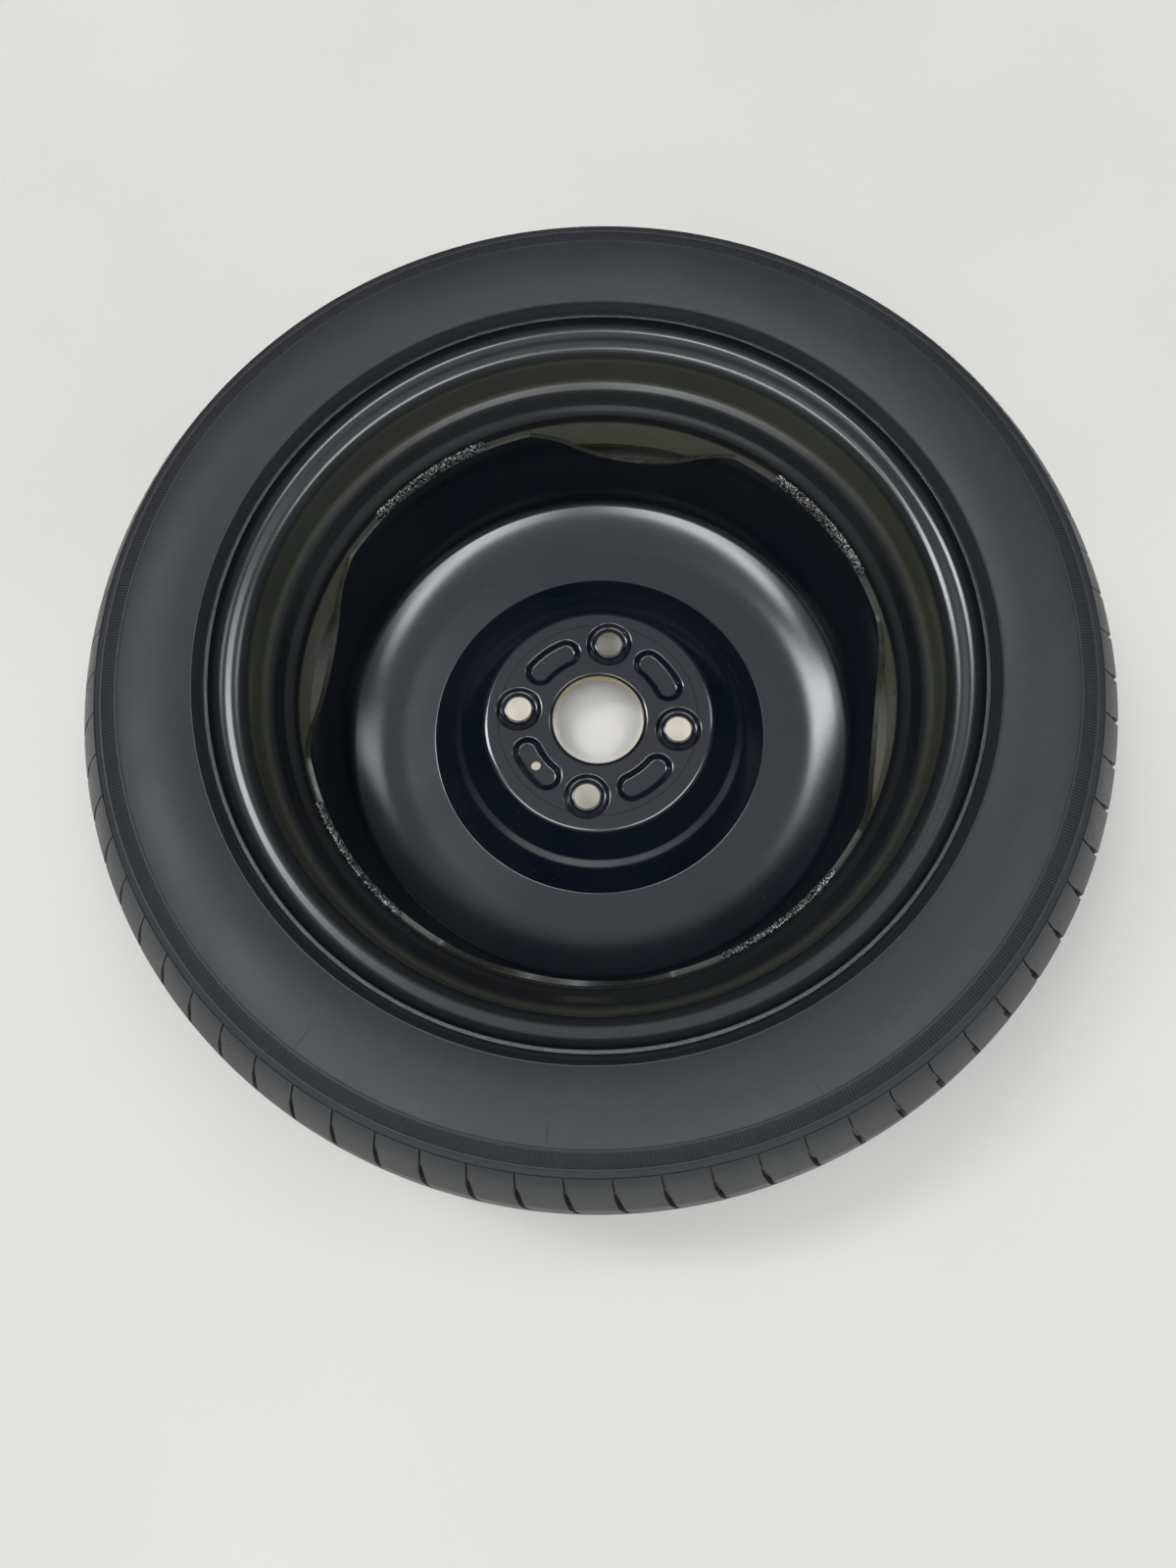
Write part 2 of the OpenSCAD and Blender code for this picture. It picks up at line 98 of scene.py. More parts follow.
class WheelColours(bpy.types.PropertyGroup):
    """Base colours of the finishes."""
    rubber: FloatVectorProperty(name="Tyre rubber", description="Charcoal rubber", subtype="COLOR", size=4,
                                default=(0.027, 0.029, 0.032, 1.0))
    # Painted reflection: the blue cast in this black stands in for the bluish light it reflects.
    disc_paint: FloatVectorProperty(name="Disc paint", description="Glossy black", subtype="COLOR", size=4,
                                    default=(0.0025, 0.0045, 0.0090, 1.0))
    rim_paint: FloatVectorProperty(name="Rim paint", description="Satin black", subtype="COLOR", size=4,
                                   default=(0.007, 0.008, 0.009, 1.0))
    # Partly painted light: the olive is the thin coat's own, but it is made lighter to stand in for light on
    # the seat and the well.
    olive_coat_and_bounce_light: FloatVectorProperty(name="Thin paint", description="Olive cast where the coat is thin",
                                    subtype="COLOR", size=4, default=(0.160, 0.168, 0.112, 1.0))
    plating: FloatVectorProperty(name="Plating", description="Golden tone of the hole walls", subtype="COLOR",
                                 size=4, default=(0.46, 0.37, 0.15, 1.0))
    brass: FloatVectorProperty(name="Brass", description="Valve tube and core", subtype="COLOR", size=4,
                               default=(0.62, 0.46, 0.20, 1.0))
    floor: FloatVectorProperty(name="Floor", description="Pale floor", subtype="COLOR", size=4,
                               default=(0.70, 0.665, 0.625, 1.0))


def bent_line(corners, turn=7.0, longest=5.0):
    """Profile through corners (a, b, bend radius), whose first and last are plain ends.

    Each bend is the arc that touches both legs: its centre lies on their bisector at radius / sin(half angle),
    and its points are the start spoke turned in equal steps. Straight stretches are split evenly.
    """
    pts = np.array([c[:2] for c in corners], float)
    line = [pts[:1]]
    for i in range(1, len(pts) - 1):
        u, v = pts[i - 1] - pts[i], pts[i + 1] - pts[i]
        u, v = u / np.linalg.norm(u), v / np.linalg.norm(v)
        half, radius = math.acos(np.clip(u @ v, -1, 1)) / 2, corners[i][2]
        bisector = (u + v) / np.linalg.norm(u + v)
        centre = pts[i] + bisector * radius / math.sin(half)
        spoke = pts[i] + u * radius / math.tan(half) - centre
        hand = math.copysign(1.0, u[1] * v[0] - u[0] * v[1])
        sweep = hand * (math.pi - 2 * half)
        a = np.linspace(0, sweep, max(3, math.ceil(abs(math.degrees(sweep)) / turn) + 1))
        arc = np.stack([spoke[0] * np.cos(a) - spoke[1] * np.sin(a),
                        spoke[0] * np.sin(a) + spoke[1] * np.cos(a)], 1) + centre
        line.append(arc)
    line.append(pts[-1:])
    rough = np.concatenate(line)
    out = [rough[:1]]
    for p, q in zip(rough[:-1], rough[1:]):
        n = max(1, math.ceil(np.linalg.norm(q - p) / longest))
        out.append(p + (q - p) * np.linspace(0, 1, n + 1)[1:, None])
    return np.concatenate(out)


def normals_of(line):
    """Left normals of a profile: each point's mean leg direction, turned a quarter left, and longer in a bend
    so that a sheet keeps its thickness."""
    legs = np.diff(line, axis=0)
    legs = legs / np.linalg.norm(legs, axis=1)[:, None]
    mean = np.concatenate([legs[:1], legs[:-1] + legs[1:], legs[-1:]])
    mean = mean / np.linalg.norm(mean, axis=1)[:, None]
    stretch = 1 / np.concatenate([[1.0], np.sum(mean[1:-1] * legs[1:], axis=1), [1.0]])
    return np.stack([-mean[:, 1], mean[:, 0]], 1) * stretch[:, None]


def sheet_outline(line, thickness, edge=0.35):
    """Closed outline of a sheet along its middle line, with both cut ends rounded by a small edge radius."""
    n = normals_of(line)
    half = thickness / 2
    a = np.radians(np.linspace(90, 0, 4))[:, None]

    def end(point, normal, tangent):
        back = point - tangent * edge
        upper = back + normal * (half - edge + edge * np.sin(a)) + tangent * edge * np.cos(a)
        lower = back - normal * (half - edge + edge * np.sin(a[::-1])) + tangent * edge * np.cos(a[::-1])
        return np.concatenate([upper, lower])

    t0 = (line[0] - line[1]) / np.linalg.norm(line[0] - line[1])
    t1 = (line[-1] - line[-2]) / np.linalg.norm(line[-1] - line[-2])
    return np.concatenate([
        line[1:-1] + n[1:-1] * half, end(line[-1], n[-1], t1),
        line[-2:0:-1] - n[-2:0:-1] * half, end(line[0], -n[0], t0),
    ])


def grid_faces(rows, columns, wrap_rows, wrap_columns, start=0):
    """Quads between neighbouring rows and columns of a grid whose points are numbered row by row."""
    i = np.arange(rows if wrap_rows else rows - 1)
    j = np.arange(columns if wrap_columns else columns - 1)
    i, j = np.meshgrid(i, j, indexing="ij")
    i2, j2 = (i + 1) % rows, (j + 1) % columns
    quads = np.stack([i * columns + j, i * columns + j2, i2 * columns + j2, i2 * columns + j], -1)
    return quads.reshape(-1, 4) + start


def signed_volume(points, quads):
    """Six times the volume inside the quads, negative where they are inside out."""
    a, b, c, d = (points[quads[:, k]] for k in range(4))
    return np.sum(a * np.cross(b, c)) + np.sum(a * np.cross(c, d))


def new_piece(name, points, quads, material, nodes, sharp=38.0):
    """Puts points in millimetres and quads into a mesh, turns it outside out by its signed volume, attaches it
    to the root body and hides the frame's nodes that it stands in for."""
    points = np.asarray(points, float).reshape(-1, 3)
    if signed_volume(points, quads) < 0:
        quads = quads[:, ::-1]
    used = np.unique(quads)
    renumber = np.zeros(len(points), int)
    renumber[used] = np.arange(len(used))
    points, quads = points[used] * MM, renumber[quads]
    mesh = bpy.data.meshes.new(name)
    mesh.vertices.add(len(points))
    mesh.vertices.foreach_set("co", points.astype(np.float32).ravel())
    mesh.loops.add(quads.size)
    mesh.loops.foreach_set("vertex_index", quads.astype(np.int32).ravel())
    mesh.polygons.add(len(quads))
    mesh.polygons.foreach_set("loop_start", np.arange(0, quads.size, 4, dtype=np.int32))
    mesh.update(calc_edges=True)
    mesh.validate()
    mesh.polygons.foreach_set("use_smooth", np.ones(len(mesh.polygons), bool))
    mesh.set_sharp_from_angle(angle=math.radians(sharp))
    mesh.materials.append(material)
    piece = bpy.data.objects.new(name, mesh)
    bpy.context.scene.collection.objects.link(piece)
    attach(piece, "root")
    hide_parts(*nodes)
    return piece


def revolve(outline):
    """Points of a closed outline (radius, height) carried around the wheel's axis."""
    a = np.linspace(0, 2 * math.pi, COLUMNS, endpoint=False)
    r, z = outline[:, :1], outline[:, 1:]
    return np.stack([r * np.cos(a), r * np.sin(a), z + 0 * a], -1)


def revolved_piece(name, outline, material, node, sharp=38.0):
    """A ring with one closed outline all around, in place of one node."""
    quads = grid_faces(len(outline), COLUMNS, True, True)
    new_piece(name, revolve(outline), quads, material, [node], sharp)


def smooth(t):
    """Smooth step from 0 to 1 as t goes from 0 to 1."""
    t = np.clip(t, 0, 1)
    return t * t * (3 - 2 * t)


class Wire:
    """A shader socket that takes part in Python sums: each operator adds one Math node."""

    def __init__(self, paint, socket):
        self.paint, self.socket = paint, socket

    def __add__(self, other):
        return self.paint.maths("ADD", self, other)

    def __sub__(self, other):
        return self.paint.maths("SUBTRACT", self, other)

    def __rsub__(self, other):
        return self.paint.maths("SUBTRACT", other, self)

    def __mul__(self, other):
        return self.paint.maths("MULTIPLY", self, other)

    def __truediv__(self, other):
        return self.paint.maths("DIVIDE", self, other)

    def __pow__(self, other):
        return self.paint.maths("POWER", self, other)

    def __gt__(self, other):
        return self.paint.maths("GREATER_THAN", self, other)

    def __lt__(self, other):
        return self.paint.maths("LESS_THAN", self, other)


class Paint:
    """The nodes of one material, or of the sky."""

    def __init__(self, name, sky=False):
        self.material = (bpy.data.worlds if sky else bpy.data.materials).new(name)
        self.material.use_nodes = True
        self.tree = self.material.node_tree
        self.tree.nodes.clear()
        place = self.node("ShaderNodeTexCoord", out="Generated" if sky else "Object")
        self.place = place
        axes = self.node("ShaderNodeSeparateXYZ", sockets={0: place}, out=None)
        self.x, self.y, self.z = (Wire(self, s) for s in axes.outputs)

    def node(self, kind, settings=None, sockets=None, out=0):
        """Adds a node of a kind, with its settings first and then its sockets, and wraps one output."""
        made = self.tree.nodes.new(kind)
        for key, value in (settings or {}).items():
            if key == "stops":
                ramp = made.color_ramp
                for _ in value[2:]:
                    ramp.elements.new(0.5)
                for element, (spot, shade) in zip(ramp.elements, value):
                    element.position, element.color = spot, (shade, shade, shade, 1)
            else:
                setattr(made, key, value)
        for key, value in (sockets or {}).items():
            if isinstance(value, Wire):
                self.tree.links.new(value.socket, made.inputs[key])
            else:
                made.inputs[key].default_value = value
        return made if out is None else Wire(self, made.outputs[out])

    def maths(self, operation, *values):
        return self.node("ShaderNodeMath", {"operation": operation}, dict(enumerate(values)))

    def radius(self):
        return (self.x * self.x + self.y * self.y) ** 0.5

    def angle(self):
        return self.maths("ARCTAN2", self.y, self.x)

    def vector(self, x, y, z):
        return self.node("ShaderNodeCombineXYZ", sockets={0: x, 1: y, 2: z})

    def noise(self, scale, detail=3.0, rough=0.5, place=None):
        return self.node("ShaderNodeTexNoise", None, {"Vector": place or self.place, "Scale": scale,
                                                      "Detail": detail, "Roughness": rough})

    def range(self, value, low, high, to_low=0.0, to_high=1.0):
        """Value carried from low..high to to_low..to_high, and held at the ends."""
        return self.node("ShaderNodeMapRange", {"clamp": True},
                         {0: value, 1: low, 2: high, 3: to_low, 4: to_high})

    def band(self, value, low, high, soft):
        """1 between low and high, falling to 0 over soft on either side."""
        return self.range(value, low - soft, low) * (1 - self.range(value, high, high + soft))

    def mix(self, share, a, b):
        return self.node("ShaderNodeMix", {"data_type": "RGBA"}, {0: share, 6: a, 7: b}, out=2)

    def sine(self, value):
        return self.maths("SINE", value)

    def bump(self, height, strength, distance, under=None):
        sockets = {"Height": height, "Strength": strength, "Distance": distance}
        if under is not None:
            sockets["Normal"] = under
        return self.node("ShaderNodeBump", None, sockets)

    def finish(self, colour, roughness, normal=None, **constants):
        """Ends the material in one Principled shader, whose other sockets take plain values."""
        sockets = {"Base Color": colour, "Roughness": roughness, **constants}
        if normal is not None:
            sockets["Normal"] = normal
        shader = self.node("ShaderNodeBsdfPrincipled", None, sockets)
        self.node("ShaderNodeOutputMaterial", None, {"Surface": shader}, out=None)
        return self.material


def rubber_finish(colours):
    """Moulded tyre rubber: dull charcoal with dust and fine rings, a ribbed band on the sidewall with painted
    shade between its ribs, and painted light that makes the shoulder lighter."""
    p = Paint("tyre_rubber")
    r, a = p.radius(), p.angle()
    cloud = p.noise(14.0, 5.0, 0.6)
    grain = p.noise(1400.0, 2.0, 0.6)
    smear = p.noise(3.0, 4.0, 0.6, p.vector(a * 14.0, r * 60.0, p.z * 60.0))
    serration = p.sine(a * 974.0)
    on_band = p.band(r, 0.2529, 0.2596, 0.0002) * (p.z > 0.100)
    dust = p.range(cloud, 0.5, 0.72, 0.0, 0.55)
    colour = p.mix(dust * 0.5 + p.range(smear, 0.45, 0.75, 0.0, 0.25), tuple(colours.rubber),
                   (0.045, 0.047, 0.051, 1.0))
    # Painted shade: the serrated band is darkened in the troughs between its ribs.
    colour = p.mix(on_band * p.range(serration, -1.0, 0.6, 0.45, 0.0), colour, (0.009, 0.010, 0.012, 1.0))
    rings = p.noise(1.0, 3.0, 0.7, p.vector(r * 900.0, p.z * 40.0, a * 2.0))
    rough = p.range(cloud, 0.3, 0.7, 0.38, 0.52) + p.range(grain, 0.3, 0.7, -0.04, 0.04)
    fine = p.bump(rings, 0.25, 0.00015, p.bump(grain, 0.35, 0.00012))
    ribbed = p.bump(serration * on_band, 0.7, 0.0004, fine)
    # Painted light: the shoulder's rubber is made lighter than the rest, as if lit.
    colour = p.mix(p.range(r, 0.266, 0.272, 0.0, 0.55), colour, (0.062, 0.063, 0.065, 1.0))
    return p.finish(colour, rough, ribbed, **{"Specular IOR Level": 0.32})


def paint_finish(name, base, thin, rough_low, rough_high, thin_coat_and_painted_light_mask, on_rim=False):
    """Dipped black paint on steel: orange peel, faint smudges, settled dust, and a warmer cast where it is
    thin, which on the rim is also painted light. The rim has fine marks rubbed into its flange, the disc a
    turned line on its pad and a duller cone."""
    p = Paint(name)
    smudge = p.noise(9.0, 6.0, 0.62)
    peel = p.noise(420.0, 2.0, 0.5)
    specks = p.node("ShaderNodeTexVoronoi", {"feature": "F1"}, {"Vector": p.place, "Scale": 230.0})
    dust = (specks < 0.055) * p.range(p.noise(30.0), 0.45, 0.62)
    colour = p.mix(p.range(smudge, 0.35, 0.75, 0.0, 0.35), base, (0.016, 0.018, 0.022, 1.0))
    rough = p.range(smudge, 0.3, 0.7, rough_low, rough_high) + dust * 0.3
    mask = thin_coat_and_painted_light_mask(p)
    # On the rim this colour is also painted light, lighter than the thin coat itself.
    colour = p.mix(mask * p.range(smudge, 0.3, 0.7, 0.8, 1.0), colour, thin)
    rough = rough + mask * 0.08
    colour = p.mix(dust * 0.5, colour, (0.20, 0.19, 0.17, 1.0))
    normal = p.bump(peel, 0.06, 0.0002)
    if on_rim:
        fine = p.noise(4.0, 6.0, 0.7, p.vector(p.angle() * 3.0, p.radius() * 2600.0, p.z * 900.0))
        normal = p.bump(fine * p.band(p.radius(), 0.2045, 0.2075, 0.0004), 0.5, 0.0003, normal)
    else:
        turned_line = p.band(p.radius(), 0.06185, 0.06205, 0.00012) * (p.z > -0.001)
        normal = p.bump(turned_line, 0.8, 0.0003, normal)
        rough = rough + p.range(p.radius(), 0.071, 0.090, 0.0, 0.09)
    return p.finish(colour, rough, normal, **{"Specular IOR Level": 0.7})


def olive_coat_and_painted_light_mask(p):
    """The bead seat's hub side and the well's floor, where the coat is thin and olive. Its colour there is
    lighter than that coat: painted light, strongest on the well's floor.
    """
    seat = p.band(p.z, 0.0800, 0.0960, 0.003)
    well = p.band(p.z, 0.005, 0.058, 0.003) * (1 - p.range(p.radius(), 0.1725, 0.1735))
    return seat * 0.42 + well


def hole_mask(p):
    """The walls of the bore and of the four stud holes, which keep the golden tone of the plating."""
    wide, high = p.maths("ABSOLUTE", p.x), p.maths("ABSOLUTE", p.y)
    far = p.maths("MAXIMUM", wide, high) - 0.050
    off = p.maths("MINIMUM", wide, high)
    to_stud = (far * far + off * off) ** 0.5
    stud = (1 - p.range(to_stud, 0.0081, 0.0084)) * (1 - p.range(p.z, -0.0010, -0.0005))
    bore = (1 - p.range(p.radius(), 0.0283, 0.0288)) * (1 - p.range(p.z, -0.0018, -0.0010))
    return stud + bore


def weld_finish():
    """Weld beads under the same paint: rippled and glossy, with pale specks painted as glints."""
    p = Paint("weld_paint")
    lumps = p.noise(620.0, 3.0, 0.6)
    ripple = p.sine(p.angle() * 560.0 + p.noise(160.0) * 6.0)
    # Painted highlights: pale specks stand in for glints on the bead.
    painted_glints = p.range(p.noise(800.0, 2.0, 0.7), 0.51, 0.60)
    colour = p.mix(painted_glints, (0.007, 0.008, 0.010, 1.0), (0.55, 0.55, 0.53, 1.0))
    normal = p.bump(lumps + ripple * 0.3, 1.0, 0.0016)
    return p.finish(colour, p.range(lumps, 0.3, 0.7, 0.08, 0.22), normal, **{"Specular IOR Level": 0.8})


def small_finish(name, base, lighter, rough, metallic=0.0, scale=300.0):
    """Rubber, plastic or brass of the valve, with a fine grain and rubbed spots."""
    p = Paint(name)
    grain = p.noise(scale, 4.0, 0.6)
    colour = p.mix(p.range(grain, 0.4, 0.75, 0.0, 0.7), base, lighter)
    return p.finish(colour, p.range(grain, 0.3, 0.7, rough - 0.08, rough + 0.1),
                    p.bump(grain, 0.25, 0.0002), Metallic=metallic)


def rim_line(s):
    """Middle line of the rim's sheet as (radius, height): two flanges, seats with a five degree taper, the
    hub side's ledge, riser and shelf, the drop well, and the outer side's gentle shelf."""
    half, t, seat = s.rim_half_width, s.rim_sheet, s.bead_radius
    heel, wall = seat - t / 2, half + t / 2
    lip_r, lip_x = seat + FLANGE_HEIGHT - t / 2, half + FLANGE_LIP
    well = seat - WELL_DEPTH - t / 2
    ledge_x = half - 22.2
    ledge_r = heel - (wall - ledge_x) * SEAT_SLOPE
    riser = (ledge_r - 5.4, ledge_x - 3.2)
    foot = (riser[0] - 4.7, riser[1] - 7.5)
    shelf_x = foot[1] - (foot[0] - well) * math.tan(math.radians(35))
    outer_x = half - 30
    outer_r = heel - (wall - outer_x) * SEAT_SLOPE
    well_x = outer_x - (outer_r - well) * math.tan(math.radians(15))
    curl, heel_bend = FLANGE_CURL - t / 2, HEEL_BEND + t / 2
    line = bent_line([
        (lip_r, lip_x, 0), (lip_r, wall, curl), (heel, wall, heel_bend), (ledge_r, ledge_x, 4), (*riser, 4),
        (*foot, 4), (well, shelf_x, 8), (well, -well_x, 4.5), (outer_r, -outer_x, 4),
        (heel, -wall, heel_bend), (lip_r, -wall, curl), (lip_r, -lip_x, 0),
    ], turn=6.0, longest=6.0)
    return line + (0, s.offset)


def well_bore(s):
    """Radius of the drop well's inner wall."""
    return s.bead_radius - WELL_DEPTH - s.rim_sheet


def disc_line(s):
    """Middle line of the disc's sheet as (radius, height) from the pad to the skirt's edge. The crown rises as
    one wide arc before it turns up into the skirt."""
    t = s.disc_sheet
    mid, pad, crown = -t / 2, PAD_RADIUS, -t / 2 - CROWN_DEPTH
    skirt = well_bore(s) - FIT_GAP - t / 2
    return bent_line([
        (pad - 3.5, mid, 0), (pad, mid, 5), (pad + 15, mid - 12.96, 7), (pad + 20.5, mid - 15.12, 7),
        (pad + 33.8, crown, 3.5), (skirt - 28.7, crown + 1.2, 72), (skirt - 9.2, crown + 10.5, 7.5),
        (skirt, SKIRT_TOP - LANDING, 12), (skirt, SKIRT_TOP, 0),
    ], turn=2.5, longest=2.6)


def window_top(angle):
    """Height of the skirt's edge at an angle: straight shoulders from 22 to 14 degrees beside each window's
    middle, and between them an arc whose lowest point lies 32 mm below the edge."""
    off = np.abs((angle + LUG_STEP / 2) % LUG_STEP - LUG_STEP / 2)
    radius = 169.9
    across = radius * np.sin(np.radians(off))
    outer, inner = (radius * math.sin(math.radians(a)) for a in (WINDOW_ANGLE, WINDOW_ARC_ANGLE))
    bend = (inner * inner + WINDOW_SAG * WINDOW_SAG) / (2 * WINDOW_SAG)
    kink = SKIRT_TOP - WINDOW_SHOULDER
    arc = kink - WINDOW_SAG + bend - np.sqrt(np.maximum(bend * bend - across * across, 0))
    shoulder = kink + (across - inner) / (outer - inner) * WINDOW_SHOULDER
    return np.where(across < inner, arc, np.where(across < outer, shoulder, SKIRT_TOP))


def crown_points(s):
    """Both faces of the disc outside its pad, and the angle of each column. Rows follow the profile; in the
    skirt each column's heights are drawn together so that its last row lies on the edge of the window."""
    line = disc_line(s)
    angle = np.arange(COLUMNS) * 360.0 / COLUMNS
    edge = window_top(angle)
    n = normals_of(line)
    bend_end = int(np.argmax((line[:, 1] > -9.0) & (line[:, 0] > 140)))
    faces = []
    for side in (1, -1):
        face = line + side * n * s.disc_sheet / 2
        rows_r = np.repeat(face[:, :1], COLUMNS, 1)
        rows_z = np.repeat(face[:, 1:], COLUMNS, 1)
        z0 = face[bend_end, 1]
        share = (face[bend_end:, 1] - z0) / (face[-1, 1] - z0)
        z = z0 + share[:, None] * (edge[None, :] - z0)
        rows_z[bend_end:] = z
        rows_r[bend_end:] = np.interp(z, face[bend_end:, 1], face[bend_end:, 0])
        faces.append((rows_r, rows_z))
    return faces, np.radians(angle)


def build_rim(context):
    s, c = context.scene.wheel_sizes, context.scene.wheel_colours
    finish = paint_finish("rim_paint", tuple(c.rim_paint), tuple(c.olive_coat_and_bounce_light), 0.14, 0.22,
                          olive_coat_and_painted_light_mask, on_rim=True)
    revolved_piece("rim_shell", sheet_outline(rim_line(s), s.rim_sheet), finish, "rim_barrel")


def build_crown(context, finish):
    """The disc outside its pad, as one closed sheet whose cut edge has a finish of its own."""
    s = context.scene.wheel_sizes
    ((top_r, top_z), (low_r, low_z)), a = crown_points(s)
    loop_r = np.concatenate([top_r, low_r[::-1]])
    loop_z = np.concatenate([top_z, low_z[::-1]])
    points = np.stack([loop_r * np.cos(a), loop_r * np.sin(a), loop_z], -1)
    quads = grid_faces(len(loop_r), COLUMNS, True, True)
    crown = new_piece("disc_crown", points, quads, finish, ["disc"])
    cut = small_finish("cut_edge", (0.022, 0.024, 0.019, 1), (0.06, 0.063, 0.05, 1), 0.34)
    crown.data.materials.append(cut)
    on_edge = np.repeat(np.arange(len(loop_r)) == len(top_r) - 1, COLUMNS)
    crown.data.polygons.foreach_set("material_index", on_edge.astype(np.int32))


def press(distance, floor, mouth):
    """Share of a pressing's depth at a distance: 1 on its floor, 0 beyond its mouth, and an S between them."""
    return 1 - smooth((distance - floor) / (mouth - floor))


def round_ring(centre, radius, column, row):
    """Points at a radius around a centre on the X axis, each in the direction of its cell."""
    spin = np.arctan2(column * 1.0, row * 1.0)
    return centre + radius * np.cos(spin), radius * np.sin(spin)


def build_pad(context, finish):
    """The disc's pad with its bore, stud holes and pockets, on a polar grid. Around each hole the grid's square
    rings are turned into true circles: a cell's largest coordinate becomes its radius."""
    s = context.scene.wheel_sizes
    t, stud, quarter = s.disc_sheet, s.stud_circle, math.pi / 2
    hole_cells, window_cells, round_cells, small_cells, small_row = 11, 23, 20, 4, -2
    cell, neck_rows, neck_bend = STUD_RADIUS / hole_cells, 6, 2.9
    neck = np.linspace(-8.0, -neck_bend, neck_rows)
    bend = np.radians(np.linspace(15, 90, neck_rows))
    straight = np.full(neck_rows, s.bore_radius)
    inner_r = np.concatenate([straight, s.bore_radius + neck_bend * (1 - np.cos(bend))])
    inner_z = np.concatenate([neck, -neck_bend + neck_bend * np.sin(bend)])
    flat_r = np.concatenate([[32.2], stud + cell * np.arange(-window_cells, window_cells + 1), [67.0]])
    rows = np.concatenate([inner_r, flat_r])
    phi = np.arange(COLUMNS) * 2 * math.pi / COLUMNS
    radius, angle = np.meshgrid(rows, phi, indexing="ij")

    # Stud holes: cells count from each stud's centre, rows as k and columns as j
    k = np.arange(len(rows))[:, None] - (len(inner_r) + 1 + window_cells)
    per_lug = COLUMNS // 4
    j = (np.arange(COLUMNS)[None, :] + per_lug // 2) % per_lug - per_lug // 2
    far = np.maximum(np.abs(k), np.abs(j))
    share = 1 - smooth((far - round_cells) / (window_cells - round_cells))
    share = np.where(far <= window_cells, share, 0.0)
    lug = np.round(angle / quarter) * quarter
    cx, cy = round_ring(stud, far * cell, j, k)
    x = (1 - share) * radius * np.cos(angle) + share * (cx * np.cos(lug) - cy * np.sin(lug))
    y = (1 - share) * radius * np.sin(angle) + share * (cx * np.sin(lug) + cy * np.cos(lug))

    # The locating hole, in the same way
    row, column = k - small_row, np.arange(COLUMNS)[None, :] - COLUMNS * LOCATOR_TURN // 360
    near = np.maximum(np.abs(row), np.abs(column))
    blend = np.where(near <= 9, 1 - smooth((near - 5) / 4), 0.0)
    cx, cy = round_ring(POCKET_CIRCLE, near * LOCATOR_RADIUS / small_cells, column, row)
    lean = math.radians(LOCATOR_TURN)
    x = (1 - blend) * x + blend * (cx * math.cos(lean) - cy * math.sin(lean))
    y = (1 - blend) * y + blend * (cx * math.sin(lean) + cy * math.cos(lean))

    # Pressed rings and pockets, on the pad's face and below it
    out_x, out_y = x - stud * np.cos(lug), y - stud * np.sin(lug)
    to_stud = np.hypot(out_x, out_y)
    turn = np.arctan2(y, x)
    pocket = np.floor(turn / quarter) * quarter + quarter / 2
    held = pocket + np.clip(turn - pocket, -POCKET_HALF_ANGLE, POCKET_HALF_ANGLE)
    to_pocket = np.hypot(x - POCKET_CIRCLE * np.cos(held), y - POCKET_CIRCLE * np.sin(held))
    z = np.concatenate([inner_z, np.zeros(len(flat_r))])[:, None] + 0 * x
    z = z - STUD_RING_DEPTH * (press(to_stud, 11.3, 14.25) - press(to_stud, 9.0, 10.9))
    z = z - POCKET_DEPTH * press(to_pocket, 5.25, 9.5)
    low = -t - STUD_RING_DEPTH * press(to_stud, 12.6, 15.35) - POCKET_DEPTH * press(to_pocket, 6.55, 10.8)

    # The underside: the neck's outer wall, the sheet's lower face, and cones that widen the stud holes
    under = np.concatenate([straight + t, s.bore_radius + t + 0.2 * bend / bend.max(), flat_r])
    widen = 1.96 * (1 - smooth((far - hole_cells) / 6)) * (far >= hole_cells) * (far <= window_cells)
    ux = x * (under / rows)[:, None] + out_x / np.maximum(to_stud, 1) * widen
    uy = y * (under / rows)[:, None] + out_y / np.maximum(to_stud, 1) * widen
    under_z = np.concatenate([neck, np.linspace(-3.4, -t, neck_rows), np.full(len(flat_r), -t)])
    uz = np.where(np.arange(len(rows))[:, None] < len(inner_r), under_z[:, None], low)
    top = np.stack([x, y, z], -1).reshape(-1, 3)
    bottom = np.stack([ux, uy, uz], -1).reshape(-1, 3)
    throat = np.stack([x, y, np.full_like(z, NUT_CONE_TOP)], -1).reshape(-1, 3)
    middle = np.where((far == hole_cells).reshape(-1, 1), throat, (top + bottom) / 2)
    quads = grid_faces(len(rows), COLUMNS, False, True)
    beyond_stud = far.ravel()[quads].max(axis=1) > hole_cells
    keep = beyond_stud & (near.ravel()[quads].max(axis=1) > small_cells)
    upper, count = quads[keep], len(top)
    sides = grid_rim(upper, count)
    faces = np.concatenate([upper, upper[:, ::-1] + 2 * count, sides, sides + count])
    new_piece("disc_pad", np.concatenate([top, middle, bottom]), faces, finish, ["disc"])


def grid_rim(quads, shift):
    """Walls between two like sheets of quads: one quad on each edge that only one quad of the sheet uses."""
    edges = np.concatenate([quads[:, [k, (k + 1) % 4]] for k in range(4)])
    key = np.sort(edges, axis=1)
    _, index, count = np.unique(key, axis=0, return_index=True, return_counts=True)
    border = edges[index[count == 1]]
    return np.stack([border[:, 1], border[:, 0], border[:, 0] + shift, border[:, 1] + shift], 1)


def side_x(r, s):
    """Half-width of the tyre's sidewall at a radius: an arc of 74 mm."""
    return SIDE_HALF - SIDE_ARC + np.sqrt(SIDE_ARC ** 2 - (r - (s.bead_radius + SIDE_WIDEST)) ** 2)


def tread_r(x, s):
    """Radius of the tread at a distance from its middle."""
    return s.tyre_radius - TREAD_DROP * (x / TREAD_HALF) ** 2


